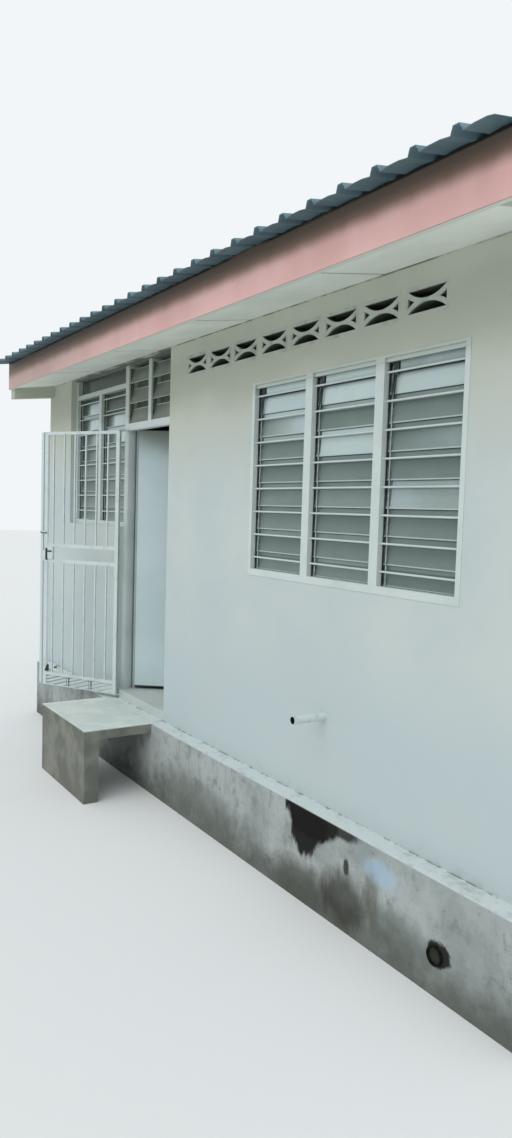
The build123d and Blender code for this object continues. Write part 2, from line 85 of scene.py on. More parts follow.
def new_finish(name, roughness, specular=0.5, metallic=0.0, clear=0.0, ior=1.5, colour="FFFFFF"):
    """A material, its shader and the place on the piece that a pattern follows. Clear is the share of the
    light that passes through it."""
    material = bpy.data.materials.new(name)
    material.use_nodes = True
    shader = material.node_tree.nodes["Principled BSDF"]
    for socket, value in {"Roughness": roughness, "Specular IOR Level": specular, "Metallic": metallic,
                          "IOR": ior, "Transmission Weight": clear, "Base Color": linear(colour)}.items():
        shader.inputs[socket].default_value = value
    place = add(material.node_tree, "ShaderNodeTexCoord").outputs["Object"]
    return material, shader, place


def paint(shader, tone):
    """Gives the surface its colour."""
    shader.id_data.links.new(tone, shader.inputs["Base Color"])


def grain(place, size, stretch=(1, 1, 1), detail=4.0, rough=0.55):
    """Uneven tone from 0 to 1 with marks about this many metres across."""
    spread = add(place.id_data, "ShaderNodeMapping", {"Vector": place, "Scale": [k / size for k in stretch]})
    noise = add(place.id_data, "ShaderNodeTexNoise", {"Vector": spread.outputs[0], "Scale": 1.0,
                                                      "Detail": detail, "Roughness": rough})
    return noise.outputs["Fac"]


def rise(value, low, high):
    """0 below low, 1 above high, with a soft start and end; the other way round where low is the greater."""
    if low < high:
        limits = {"From Min": low, "From Max": high, "To Min": 0.0, "To Max": 1.0}
    else:
        limits = {"From Min": high, "From Max": low, "To Min": 1.0, "To Max": 0.0}
    limits["Value"] = value
    return add(value.id_data, "ShaderNodeMapRange", limits, interpolation_type="SMOOTHSTEP").outputs["Result"]


def times(value, *others):
    """The product of masks and strengths."""
    for other in others:
        value = add(value.id_data, "ShaderNodeMath", {0: value, 1: other}, operation="MULTIPLY").outputs[0]
    return value


def plus(value, *others):
    """The sum of heights or patterns."""
    for other in others:
        value = add(value.id_data, "ShaderNodeMath", {0: value, 1: other}).outputs[0]
    return value


def lay(under, over, mask, *shares):
    """One colour laid over another, each a hex code or a socket, by the product of a mask and its shares."""
    under, over = [linear(c) if isinstance(c, str) else c for c in (under, over)]
    covered = times(mask, *shares)
    return add(mask.id_data, "ShaderNodeMix", {0: covered, 6: under, 7: over}, data_type="RGBA").outputs[2]


def mottle(place, under, over, size, low, high, share=1.0, **marks):
    """One colour laid over another in uneven marks about this many metres across."""
    return lay(under, over, rise(grain(place, size, **marks), low, high), share)


def patch(place, centre, reach, soft=0.18, stretch=(1, 1, 1), ragged=0.9, mark=0.06):
    """A ragged patch around a point: 1 inside, 0 outside."""
    moved = add(place.id_data, "ShaderNodeMapping", {"Vector": place, "Scale": [1 / r for r in reach],
                                                     "Location": [-c / r for c, r in zip(centre, reach)]})
    distance = add(place.id_data, "ShaderNodeVectorMath", {0: moved.outputs[0]}, operation="LENGTH")
    edge = times(grain(place, mark, stretch, 7.0, 0.65), ragged)
    middle = 1.0 + ragged / 2
    return rise(plus(distance.outputs["Value"], edge), middle + soft, middle - soft)


def roughen(shader, depth, *heights):
    """Raises the surface by the sum of these patterns, depth in metres."""
    bump = add(shader.id_data, "ShaderNodeBump", {"Height": plus(*heights), "Distance": depth,
                                                  "Strength": 1.0})
    shader.id_data.links.new(bump.outputs[0], shader.inputs["Normal"])


def dress(material, *names):
    """Gives CAD nodes this finish."""
    for name in names:
        mesh = nodes[name].data
        mesh.materials.clear()
        mesh.materials.append(material)


# Each stain on the lane side: its centre, its reach, its colour and share, how soft its edge is, how it runs.
drips, round_spot = (1, 1, 0.35), (1, 1, 1)
plinth_stains = (
    ((4.66, 0, -0.10), (0.21, 0.5, 0.13), "0B0B08", 1.00, 0.10, drips),
    ((4.64, 0, -0.18), (0.13, 0.5, 0.16), "0D0D09", 0.98, 0.14, drips),
    ((4.80, 0, -0.09), (0.13, 0.5, 0.10), "0D0D09", 0.98, 0.16, drips),
    ((4.95, 0, -0.085), (0.14, 0.5, 0.045), "1D1D16", 0.90, 0.26, drips),
    ((5.00, 0, -0.26), (0.022, 0.5, 0.045), "1E1E18", 0.85, 0.20, round_spot),
    ((3.42, 0, -0.42), (0.60, 0.5, 0.13), "595D55", 0.60, 0.45, drips),
    ((4.62, 0, -0.52), (0.28, 0.5, 0.13), "45473F", 0.65, 0.50, drips),
    ((5.38, 0, -0.44), (0.24, 0.5, 0.11), "59605A", 0.60, 0.45, drips),
    ((4.98, 0, -0.44), (0.19, 0.5, 0.14), "33312A", 0.80, 0.45, drips),
    ((5.20, 0, -0.33), (0.05, 0.5, 0.14), "565348", 0.60, 0.50, drips),
    ((5.26, 0, -0.19), (0.11, 0.5, 0.06), "A9C4DC", 0.62, 0.55, round_spot),
    ((5.66, 0, -0.40), (0.072, 0.5, 0.060), "12150F", 0.96, 0.12, round_spot))


def stained_render():
    """Unpainted cement render: mottled grey with soft rain streaks, a pale ledge and a black-green foot.
    Water has left a black wet patch under the ledge, and paint water a pale blue one."""
    material, shader, place = new_finish("stained_render", 0.92, specular=0.25)
    y, height = add(place.id_data, "ShaderNodeSeparateXYZ", {0: place}).outputs[1:]
    tone = mottle(place, "949C9A", "ABB3B1", 0.40, 0.38, 0.62, detail=7.0, rough=0.62)
    tone = mottle(place, tone, "7B827E", 0.13, 0.48, 0.74, detail=7.0, rough=0.72)
    tone = mottle(place, tone, "6B6B63", 0.030, 0.56, 0.72, 0.55, detail=6.0, rough=0.75)
    streak = rise(grain(place, 0.060, (1, 1, 0.16), 6.0, 0.68), 0.54, 0.70)
    tone = lay(tone, "63625A", streak, rise(height, 0.02, plinth_top), 0.42)
    tone = mottle(place, tone, "4A4B43", 0.34, 0.55, 0.72, 0.50, stretch=(1, 1, 0.35), detail=6.0, rough=0.66)
    foot = plus(height, times(grain(place, 0.14, detail=7.0, rough=0.65), -0.34))
    tone = lay(tone, "4C5046", rise(foot, 0.10, -0.16), 0.78)
    lane = rise(y, wall_face, plinth_face - 0.001)
    for centre, reach, colour, share, soft, stretch in plinth_stains:
        tone = lay(tone, colour, patch(place, at(*centre), reach, soft, stretch), lane, share)
    worn = mottle(place, "CDD7D7", "B4BDBA", 0.10, 0.48, 0.70, detail=7.0, rough=0.7)
    worn = lay(worn, "5A5F58", rise(y, wall_face - 0.016, wall_face - 0.006),
               rise(grain(place, 0.10, detail=7.0, rough=0.75), 0.46, 0.56), 0.75)
    paint(shader, lay(tone, worn, rise(height, plinth_top - 0.012, plinth_top - 0.001)))
    roughen(shader, 0.006, grain(place, 0.13), times(grain(place, 0.012, detail=5.0, rough=0.7), 0.35))
    return material


dress(stained_render(), "rear_plinth", "front_plinth", "party_plinths")


# Weep pipe
# An earthenware pipe end that lets ground water out of the plinth into the drain, built in flush and
# half choked with black mud.

weep_pipe_radius = 0.046
weep_pipe_wall = 0.009
weep_pipe_proud = 0.012
weep_pipe_bedded = 0.004
mud_thick = 0.004


def add_rod(build, start, end, radius, segments=12):
    """A round bar between two points."""
    start, end = Vector(start), Vector(end)
    way = (end - start).to_track_quat("Z", "Y").to_matrix().to_4x4()
    bmesh.ops.create_cone(build, cap_ends=True, segments=segments, radius1=radius, radius2=radius,
                          depth=(end - start).length, matrix=Matrix.Translation((start + end) / 2) @ way)


def add_ring(build, start, end, radius, wall, segments=32):
    """A pipe between two points, open at both ends."""
    run = end - start
    side = run.orthogonal().normalized()
    inner, outer = end + side * (radius - wall), end + side * radius
    corners = [build.verts.new(p) for p in (inner, outer, outer - run, inner - run)]
    edges = [build.edges.new((corners[i], corners[(i + 1) % 4])) for i in range(4)]
    bmesh.ops.spin(build, geom=corners + edges, cent=end, axis=run.normalized(), angle=2 * pi,
                   steps=segments, use_merge=True, use_duplicate=False)
    bmesh.ops.recalc_face_normals(build, faces=build.faces[:])


def piece(build, name, material, body):
    """Turns a finished mesh into an object that rides on a body."""
    mesh = bpy.data.meshes.new(name)
    build.to_mesh(mesh)
    build.free()
    made = bpy.data.objects.new(name, mesh)
    bpy.context.scene.collection.objects.link(made)
    for finish in material if isinstance(material, list) else [material]:
        mesh.materials.append(finish)
    mesh.shade_smooth()
    mesh.set_sharp_from_angle(angle=radians(35))
    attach(made, body)
    return made


def drain_mud():
    """Wet black silt: nearly black, a little shine."""
    material, shader, place = new_finish("drain_mud", 0.8, specular=0.2, colour="2E3029")
    roughen(shader, 0.004, grain(place, 0.02))
    return material


def earthenware():
    """Unglazed clay gone grey-black with algae."""
    material, shader, place = new_finish("earthenware", 0.95, specular=0.1)
    paint(shader, mottle(place, "1C1F18", "10120D", 0.02, 0.4, 0.6))
    return material


weep = Vector((at(5.64, 0, 0).x, plinth_face, at(0, 0, -0.41).z))
build = bmesh.new()
add_ring(build, weep - Vector((0, weep_pipe_proud, 0)), weep + Vector((0, weep_pipe_bedded, 0)),
         weep_pipe_radius, weep_pipe_wall)
piece(build, "weep_pipe", earthenware(), "house")
build = bmesh.new()
half_mud = Vector((0, mud_thick / 2, 0))
add_rod(build, weep - half_mud, weep + half_mud, weep_pipe_radius - weep_pipe_wall / 2, 24)
piece(build, "weep_pipe_mud", drain_mud(), "house")


# Floor and doorsteps
# The floor is a trowelled concrete slab on the plinths. Each doorstep is a loose slab that bridges the drain,
# cast thick, walked pale on top, with rough sides in painted shade and a bearer wall at its far end.

def height_of(place):
    """How high a place lies above the plinth's foot."""
    return add(place.id_data, "ShaderNodeSeparateXYZ", {0: place}).outputs["Z"]


def trowelled_concrete():
    """Steel-trowelled floor: smooth, pale grey, with slow cloudy shading."""
    material, shader, place = new_finish("trowelled_concrete", 0.55)
    paint(shader, mottle(place, "C4CCC9", "B6BFBC", 0.5, 0.35, 0.65, detail=6.0))
    roughen(shader, 0.002, grain(place, 0.2))
    return material


def step_concrete():
    """Cast slab walked pale on its top face, its rough sides darkened with painted shade."""
    material, shader, place = new_finish("step_concrete", 0.9, specular=0.25)
    top = mottle(place, "CBD7D4", "DBE1DA", 0.22, 0.40, 0.62, detail=7.0, rough=0.6)
    top = mottle(place, top, "AFB8B3", 0.05, 0.60, 0.76, detail=6.0, rough=0.7)
    # Everything below the top face takes the dark tone: painted shade on the sides and the bearers.
    side = mottle(place, "6E7069", "85887F", 0.20, 0.40, 0.66, detail=7.0, rough=0.6)
    paint(shader, lay(side, top, rise(height_of(place), plinth_top - 0.010, plinth_top - 0.001)))
    roughen(shader, 0.004, grain(place, 0.10), times(grain(place, 0.010, rough=0.7), 0.4))
    return material


dress(trowelled_concrete(), "floor_slab")
dress(step_concrete(), "doorstep_slabs", "doorstep_bearers")


# Walls
# Brick walls and concrete beams under one coat of smooth cement plaster, rolled with white emulsion. Painted
# shade makes them warm and dull under the eave and painted sky light bluer lower down, with splashes at the
# ledge.

wall_thick = 0.150
room_half = -party_line - 0.058
soffit_high = 2.690


def apart(value, centre=0.0):
    """How far a coordinate lies from this value, to either side."""
    off = add(value.id_data, "ShaderNodeMath", {0: value, 1: centre}, operation="SUBTRACT").outputs[0]
    return add(value.id_data, "ShaderNodeMath", {0: off}, operation="ABSOLUTE").outputs[0]


def band(value, start, full, fade, end):
    """1 from full to fade, 0 before start and after end."""
    return times(rise(value, start, full), rise(value, end, fade))


def depth_of(place):
    """How far a place lies behind the face of the nearer long wall."""
    out = apart(add(place.id_data, "ShaderNodeSeparateXYZ", {0: place}).outputs["Y"])
    return plus(times(out, -1.0), -wall_face)


def emulsion():
    """Rolled matt emulsion on trowelled plaster: flat, faintly wavy, a fine roller stipple. Painted shade
    makes it warm and dull under the eave, most at the height of the vents, and painted sky light bluer low
    down; a dark crack runs along the soffit. Indoors painted shade turns it dark olive, so that the openings
    read dark."""
    material, shader, place = new_finish("white_emulsion", 0.85, specular=0.2)
    height = plus(height_of(place), -floor_top)
    level = plus(height, times(grain(place, 0.5, detail=5.0), -0.35))
    # Bluer low down: painted sky light.
    tone = lay("C8D0CD", "BBC8CB", rise(level, 0.85, 0.15))
    tone = mottle(place, tone, "BEC9CA", 0.9, 0.35, 0.70)
    # Warmer and duller from 1.4 m up, and darker still about the vents: painted shade under the eave.
    tone = lay(tone, "BFC2B2", rise(level, 1.4, 2.2), 0.80)
    tone = lay(tone, "9C9F91", band(level, 1.95, 2.20, 2.35, 2.55), 0.45)
    tone = lay(tone, "9FA5A0", rise(height, 0.02, -0.07),
               rise(grain(place, 0.06, detail=7.0, rough=0.7), 0.50, 0.70), 0.35)
    tone = lay(tone, "4A4E46", rise(height, soffit_high, soffit_high + 0.004),
               rise(grain(place, 0.25, detail=6.0, rough=0.7), 0.40, 0.56), 0.75)
    along = add(place.id_data, "ShaderNodeSeparateXYZ", {0: place}).outputs["X"]
    # Indoor faces of the walls are dark olive: painted shade.
    paint(shader, lay(tone, "40473F", rise(depth_of(place), wall_thick - 0.001, wall_thick + 0.001),
                      rise(apart(along), room_half + 0.001, room_half - 0.001)))
    stipple = times(grain(place, 0.006, detail=2.0), 0.10)
    roughen(shader, 0.0035, grain(place, 0.35, detail=3.0), stipple)
    return material


dress(emulsion(), "left_party_wall", "right_party_wall", "eave_beams",
      "rear_wall_piers", "rear_wall_panels", "rear_vent_course", "rear_ring_beam",
      "front_wall_piers", "front_wall_panels", "front_vent_course", "front_ring_beam")


# Vent blocks
# Precast concrete blocks laid in a course above the window, painted with the wall. Painted shade darkens the
# curved bars inside, so the holes read nearly black.

def vent_block_paint():
    """Thin emulsion over pitted precast concrete, with painted shade, nearly black, on the faces set back in
    the holes.
    """
    material, shader, place = new_finish("vent_block_paint", 0.9, specular=0.2)
    tone = mottle(place, "B1B8AD", "9CA297", 0.07, 0.45, 0.70, detail=6.0)
    # Faces set back from the wall face: painted shade.
    paint(shader, lay(tone, "2C3724", rise(depth_of(place), 0.002, 0.016), 0.85))
    roughen(shader, 0.002, grain(place, 0.012, rough=0.7))
    return material


dress(vent_block_paint(), "rear_vent_blocks", "front_vent_blocks")


# Window and door frames
# Hardwood frames built in as the walls rose, mortised and tenoned, under many coats of white gloss. The wide
# window's frame is flush with the plaster, the door's composite frame stands back in its opening.

window_low, window_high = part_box("big_window_frame")
door_head = floor_top + 2.165
frame_eave_shade = floor_top + 2.20
soffit_shade = floor_top + 2.680
window_head = window_high.z - 0.035


def gloss_on_timber():
    """Brushed gloss enamel over hardwood: bright, with faint brush lines and small grimy marks. It carries
    painted
    shade: duller from 2.2 m up under the eave, nearly black right under the soffit, dark lines in the door
    reveal beside the stops and on the back of the posts, and a thin line at the underside of the wide
    window's head."""
    material, shader, place = new_finish("white_gloss", 0.34, specular=0.45)
    height, depth = height_of(place), depth_of(place)
    tone = mottle(place, "CAD5D2", "C0CCC9", 0.20, 0.40, 0.72, detail=5.0)
    tone = mottle(place, tone, "8C9088", 0.030, 0.60, 0.80, 0.5, detail=6.0, rough=0.7)
    # Duller under the eave, nearly black under the soffit: painted shade.
    tone = lay(tone, "A9B3A8", rise(height, frame_eave_shade, frame_eave_shade + 0.10), 0.75)
    tone = lay(tone, "4E564F", rise(height, soffit_shade, soffit_shade + 0.008), 0.85)
    # Dark lines in the door reveal beside the stops and on the back of the posts: painted shade.
    below_head = rise(height, door_head, door_head - 0.005)
    tone = lay(tone, "3C4442", band(depth, 0.1165, 0.1185, 0.1275, 0.1295), below_head, 0.8)
    tone = lay(tone, "4A5351", rise(depth, 0.149, 0.152), below_head, 0.7)
    # A thin dark line at the height of the wide window's head: painted shadow.
    paint(shader, lay(tone, "7C8A83", rise(apart(height, window_head), 0.0015, 0.0005), 0.8))
    roughen(shader, 0.0007, grain(place, 0.012, (1, 1, 0.15)))
    return material


frame_gloss = gloss_on_timber()
dress(frame_gloss, "big_window_frame", "front_window_frame", "entry_frame", "front_door_frame")


# Louvre blades
# Strips of obscured glass with pencil-ground edges, each held at both ends so that it laps over the next; the
# last is cut at the sill. The fanlight's blades are narrower and stand open with a gap between.

blade_thick = 0.005
blade_chord = 0.152
blade_tilt = radians(4.0)
blade_pitch = 0.140
blade_gap = 0.002
least_blade = 0.060
blade_inset = 0.045
fan_chord = 0.129
fan_tilt = radians(16.5)
fan_blades = 3
fan_end = 0.0625
fan_inset = 0.030
channel_thick = 0.003
edge_round = 0.0023
entry_setback = 0.050
frame_side = 0.030
mullion = 0.065
entry_mullion = 0.055


def bays(left, right, count, bar):
    """The clear widths between this many bays' upright bars."""
    wide = (right - left - (count - 1) * bar) / count
    return [(left + i * (wide + bar), left + i * (wide + bar) + wide) for i in range(count)]


window_bays = bays(window_low.x + frame_side, window_high.x - frame_side, 3, mullion)
window_foot = window_low.z + 0.040
small_bays = bays(at(0.600, 0, 0).x, at(1.720, 0, 0).x, 2, entry_mullion)
small_head = floor_top + 2.510
doorway_left, doorway_right = at(1.785, 0, 0).x, at(2.600, 0, 0).x
fan_bays = bays(doorway_left, doorway_right, 2, entry_mullion)
fan_foot, fan_head = floor_top + 2.210, floor_top + 2.660
fan_glass_y = wall_face + entry_setback + fan_inset

# The bays of each louvre window, the foot and the head of its opening, and the middle of its glass.
wide_window = window_bays, window_foot, window_head, wall_face + blade_inset
small_window = small_bays, floor_top + 1.400, small_head, wall_face + entry_setback + blade_inset


def window_blades(foot, head):
    """Middle height, chord and outward lean of each blade of one window bay, from the head down."""
    rows = []
    high = head - blade_gap
    while high - foot > least_blade:
        low = max(high - blade_chord * cos(blade_tilt), foot + blade_gap)
        chord = (high - low) / cos(blade_tilt)
        rows.append(((high + low) / 2, chord, (blade_chord - chord) / 2 * sin(blade_tilt)))
        high -= blade_pitch
    return rows


def fan_heights():
    """Middle heights of the open blades of one fanlight bay."""
    step = (fan_head - fan_foot - 2 * fan_end) / (fan_blades - 1)
    return [fan_foot + fan_end + i * step for i in range(fan_blades)]


def turn(build, verts, angle, axis, centre=(0, 0, 0)):
    """Turns part of a mesh about a line through the centre."""
    bmesh.ops.rotate(build, verts=verts, cent=centre, matrix=Matrix.Rotation(angle, 3, axis))


def set_in(build, verts, tilt, place):
    """Tilts a part that was made at the origin, its lower edge outwards, and carries it to its place."""
    turn(build, verts, -tilt, "X")
    bmesh.ops.translate(build, verts=verts, vec=place)


def add_blade(build, x0, x1, y, z, chord, tilt, sky, finish=0):
    """One glass strip, lower edge outwards. It notes how far down each point lies and how much sky it mirrors
    at its left, at its right and above the rod in front of it. Its edges take the second finish."""
    notes = build.verts.layers.float
    layers = [notes.get(name) or notes.new(name) for name in ("down", "sky", "upper")]
    old = set(build.faces)
    verts = bmesh.ops.create_cube(build, size=1)["verts"]
    bmesh.ops.scale(build, vec=(x1 - x0, blade_thick, chord), verts=verts)
    long_edges = [e for e in {e for v in verts for e in v.link_edges}
                  if abs(e.verts[0].co.x - e.verts[1].co.x) > chord / 2]
    bmesh.ops.bevel(build, geom=long_edges, offset=edge_round, segments=3, profile=0.5, affect="EDGES",
                    material=-1)
    faces = [f for f in build.faces if f not in old]
    for face in faces:
        face.material_index = 1 if abs(face.normal.y) < 0.95 else finish
    verts = list({v for f in faces for v in f.verts})
    left, right, upper = sky
    for vert in verts:
        share = vert.co.x / (x1 - x0) + 0.5
        for layer, value in zip(layers, (0.5 - vert.co.z / chord, left + (right - left) * share, upper)):
            vert[layer] = value
    set_in(build, verts, tilt, ((x0 + x1) / 2, y, z))


def add_street_copy(build):
    """The same pieces on the street side: half a turn about the middle of the plan."""
    made = bmesh.ops.duplicate(build, geom=build.verts[:] + build.edges[:] + build.faces[:])["geom"]
    turn(build, [v for v in made if isinstance(v, bmesh.types.BMVert)], pi, "Z")


def obscured_glass():
    """Pitted grey-green sheet glass: dim over the dark room, paler down each blade, with a painted reflection
    of the pale blue sky, and a painted dark reflection where the sky value is below zero. A painted soft
    shadow lies under the rod in front, painted shade fills the lap under the blade above, and the lower
    ground edge shows through as a pale line."""
    material, shader, place = new_finish("obscured_glass", 0.30, clear=0.12, ior=1.5)
    tree = material.node_tree
    down, sky, upper = [add(tree, "ShaderNodeAttribute", attribute_name=name).outputs["Fac"]
                        for name in ("down", "sky", "upper")]
    over_rod = rise(down, 0.36, 0.31)
    tone = lay("5B6D67", "738480", rise(down, 0.40, 1.05))
    tone = lay(tone, "6F807D", over_rod)
    tone = mottle(place, tone, "5D6E69", 0.16, 0.46, 0.72, 0.5, stretch=(0.6, 1, 1.5), detail=3.0)
    mirrored = add(tree, "ShaderNodeMix", {0: over_rod, 2: sky, 3: upper}, data_type="FLOAT").outputs[0]
    # Painted reflections: dark where the sky value is below zero, pale blue as it rises.
    tone = lay(tone, "39443A", rise(mirrored, 0.0, -0.6))
    tone = lay(tone, "CFE1DE", mirrored)
    tone = lay(tone, "BFD4DE", mirrored, rise(grain(place, 0.22, detail=3.0), 0.45, 0.65), 0.5)
    # The rod's soft shadow: painted shadow.
    tone = lay(tone, "46534F", band(down, 0.262, 0.290, 0.325, 0.410), 0.62)
    # The lap under the blade above: painted shade.
    tone = lay(tone, "3C4744", rise(down, 0.118, 0.092), 0.75)
    paint(shader, lay(tone, "C3D3CE", rise(down, 0.945, 0.965), 0.8))
    roughen(shader, 0.0006, grain(place, 0.008, detail=2.0))
    return material


def fan_glass():
    """The same glass in the fanlight, warm grey under the soffit, with a pale line at its ground top."""
    material, shader, place = new_finish("fan_glass", 0.30, clear=0.12, ior=1.5)
    down = add(material.node_tree, "ShaderNodeAttribute", attribute_name="down").outputs["Fac"]
    tone = mottle(place, "6F776D", "7F877C", 0.16, 0.40, 0.65)
    tone = lay(tone, "626860", rise(down, 0.6, 1.0), 0.5)
    paint(shader, lay(tone, "C9D2CA", rise(down, 0.085, 0.060), 0.9))
    roughen(shader, 0.0006, grain(place, 0.008, detail=2.0))
    return material


def ground_edge():
    """The ground edge of a glass strip: frosted, so it catches the light as a pale green line."""
    return new_finish("ground_glass_edge", 0.5, colour="D3E0DC")[0]


dark, dim, mid, pale = -0.6, 0.04, 0.42, 0.85
blades_a_bay = len(window_blades(window_foot, window_head))


def bay_sky(bright):
    """How much sky each blade of a bay mirrors at its left, its right and above the rod, from the head
    down. One value stands for all three."""
    plain = [chance.uniform(0.0, 0.16) for _ in range(blades_a_bay + 1)]
    skies = [bright.get(i, (plain[i], plain[i], plain[i + 1])) for i in range(blades_a_bay)]
    return [sky if isinstance(sky, tuple) else (sky, sky, sky) for sky in skies]


def add_window_blades(build, skies, sides, foot, head, y):
    rows = window_blades(foot, head)
    for (x0, x1), sky in zip(sides, skies):
        for (z, chord, lean), parts in zip(rows, sky):
            tilt = blade_tilt + radians(chance.uniform(-0.5, 0.5))
            add_blade(build, x0 + channel_thick, x1 - channel_thick, y + lean, z, chord, tilt, parts)


def add_fan_blades(build):
    for x0, x1 in fan_bays:
        for z in fan_heights():
            tilt = fan_tilt + radians(chance.uniform(-0.8, 0.8))
            add_blade(build, x0 + channel_thick, x1 - channel_thick, fan_glass_y, z, fan_chord, tilt,
                      (mid, mid, mid), 2)


glass = [obscured_glass(), ground_edge(), fan_glass()]

build = bmesh.new()
add_window_blades(build, [
    bay_sky({0: pale, 1: (dim, pale, pale), 2: (dim, dim, mid)}),
    bay_sky({0: (1.1, 1.1, 1.0), 1: (dim, dim, mid), 2: pale, 3: dim}),
    bay_sky({0: pale, 2: (dim, 0.3, dim), 3: dim, 4: (0.45, 0.34, 0.4)})], *wide_window)
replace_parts(piece(build, "wide_window_blades", glass, "house"), "big_window_louvres")

build = bmesh.new()
add_window_blades(build, [
    bay_sky({0: (-2.5, 5.0, dark), 1: (-2.5, 5.0, pale), 2: (-1.0, 1.2, mid), 3: (-1.0, 0.7, dim)}),
    bay_sky({0: dark, 1: (-2.0, 5.0, dark), 2: (-2.0, 3.0, pale)})], *small_window)
add_fan_blades(build)
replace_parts(piece(build, "entry_blades", glass, "house"), "entry_louvres")

build = bmesh.new()
add_window_blades(build, [bay_sky({0: (pale, mid, mid)}) for _ in window_bays], *wide_window)
add_fan_blades(build)
turn(build, build.verts[:], pi, "Z")
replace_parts(piece(build, "street_blades", glass, "house"), "front_louvres")


# Louvre channels, clips and levers
# Pressed steel channels are screwed to the frame at both sides of each bay. Each blade end sits in a clip
# that turns on the channel, and a bright flat bar links the clips of the left side to a lever near the head.

clip_wide = 0.033
clip_thick = 0.0095
clip_trim = 0.012
fan_clip_wide = 0.014
link_inset = 0.022
link_wide = 0.008
link_thick = 0.002
link_forward = 0.012
link_lean = 0.015
lever_inset = 0.032
lever_wide = 0.040
lever_high = 0.062
lever_front = 0.0245
lever_thick = 0.008
arm_wide = 0.026
arm_bar = 0.007
arm_long = 0.120
arm_slant = radians(7.0)
clip_shadow_pitch = 0.054


def add_block(build, low, high, soften=0.0):
    """A block between two corners, its edges softened by a small bevel."""
    low, high = Vector(low), Vector(high)
    old = set(build.faces)
    verts = bmesh.ops.create_cube(build, size=1, matrix=Matrix.Translation((low + high) / 2)
                                  @ Matrix.Diagonal((*(high - low), 1)))["verts"]
    if soften:
        edges = list({e for v in verts for e in v.link_edges})
        bmesh.ops.bevel(build, geom=edges, offset=soften, segments=2, profile=0.5, affect="EDGES",
                        material=-1)
        verts = list({v for f in build.faces if f not in old for v in f.verts})
    return verts


def add_clips(build, x0, x1, wide, y, z, chord, tilt):
    """A folded clip over each end of a blade: it reaches from the channel towards the middle of the bay."""
    for x in (x0 + channel_thick, x1 - channel_thick - wide):
        verts = add_block(build, (0, -clip_thick / 2, -chord / 2 + clip_trim),
                          (wide, clip_thick / 2, chord / 2 - clip_trim), 0.001)
        set_in(build, verts, tilt, (x, y, z))


def add_window_clips(build, sides, foot, head, y):
    for x0, x1 in sides:
        for z, chord, lean in window_blades(foot, head):
            add_clips(build, x0, x1, clip_wide, y + lean, z, chord, blade_tilt)


def add_links(build, sides, foot, head, glass_y):
    """The upright bar that joins the clips on the left side of each bay, a length for each blade."""
    y = glass_y - link_forward
    for x0, _ in sides:
        for z, chord, _ in window_blades(foot, head):
            verts = add_block(build, (x0 + link_inset, y - link_thick, z - chord / 2),
                              (x0 + link_inset + link_wide, y, z + chord / 2 - clip_trim), 0.0006)
            turn(build, verts, link_lean, "Y", (x0 + link_inset, y, z))


def clip_steel():
    """Plated steel gone grey with dust and weather."""
    material, shader, place = new_finish("clip_steel", 0.6, metallic=0.2)
    paint(shader, mottle(place, "707B7A", "5A6463", 0.03, 0.42, 0.62))
    return material


def clip_aluminium():
    """Mill aluminium gone dull and dusty out of doors."""
    material, shader, place = new_finish("clip_aluminium", 0.5, metallic=0.3)
    paint(shader, mottle(place, "B4BFBE", "99A4A3", 0.02, 0.45, 0.65))
    return material


def channel_steel():
    """Galvanised steel under grime, nearly black in the recess. In the fanlight it is paler, with the
    slanting shadows of the folded clips painted on it."""
    material, shader, place = new_finish("channel_steel", 0.7, metallic=0.3)
    tree = material.node_tree
    x, y, height = add(tree, "ShaderNodeSeparateXYZ", {0: place}).outputs
    tone = mottle(place, "444C4B", "303736", 0.03, 0.4, 0.6)
    fan = times(rise(height, fan_foot + 0.075, fan_foot + 0.085),
                rise(apart(x), -doorway_left + 0.002, -doorway_left + 0.001))
    slope = plus(height, times(plus(apart(y), fan_glass_y), 1 / tan(fan_tilt)))
    wave = add(tree, "ShaderNodeMath", {0: slope, 1: clip_shadow_pitch / 2}, operation="PINGPONG").outputs[0]
    tone = lay(tone, "6E776B", fan)
    # Slanting dark lines in the fanlight: painted shadows of the folded clips.
    paint(shader, lay(tone, "2F372E", fan, rise(wave, clip_shadow_pitch * 0.24, clip_shadow_pitch * 0.16), 0.9))
    return material


channel_grime = channel_steel()
dress(channel_grime, "louvre_channels", "front_louvre_channels")

build = bmesh.new()
add_window_clips(build, *wide_window)
for x0, x1 in fan_bays:
    for z in fan_heights():
        add_clips(build, x0, x1, fan_clip_wide, fan_glass_y, z, fan_chord, fan_tilt)
add_street_copy(build)
add_window_clips(build, *small_window)
piece(build, "louvre_clips", clip_steel(), "house")

build = bmesh.new()
add_links(build, *wide_window)
add_street_copy(build)
add_links(build, *small_window)
piece(build, "louvre_link_bars", clip_aluminium(), "house")

build = bmesh.new()
lever_foot = window_head - lever_high
for x0, x1 in window_bays:
    x, y = x0 + lever_inset, wall_face + lever_front
    add_block(build, (x, y, lever_foot), (x + lever_wide, y + lever_thick, window_head + 0.002), 0.002)
    for side in (x, x + arm_wide - arm_bar):
        verts = add_block(build, (side, y + 0.002, lever_foot - arm_long),
                          (side + arm_bar, y + 0.006, lever_foot + 0.005), 0.001)
        turn(build, verts, arm_slant, "Y", (x, y, lever_foot))
add_street_copy(build)
piece(build, "louvre_levers", channel_grime, "house")


# Fly wire
# Black wire gauze against mosquitoes, stretched and tacked inside the fanlight. Its dull green tone is
# painted shade for the dim room seen from the lane through the gaps between the open blades.

gauze_back = 0.132
gauze_thick = 0.0012
gauze_tucked = 0.001
wire_pitch = 0.006


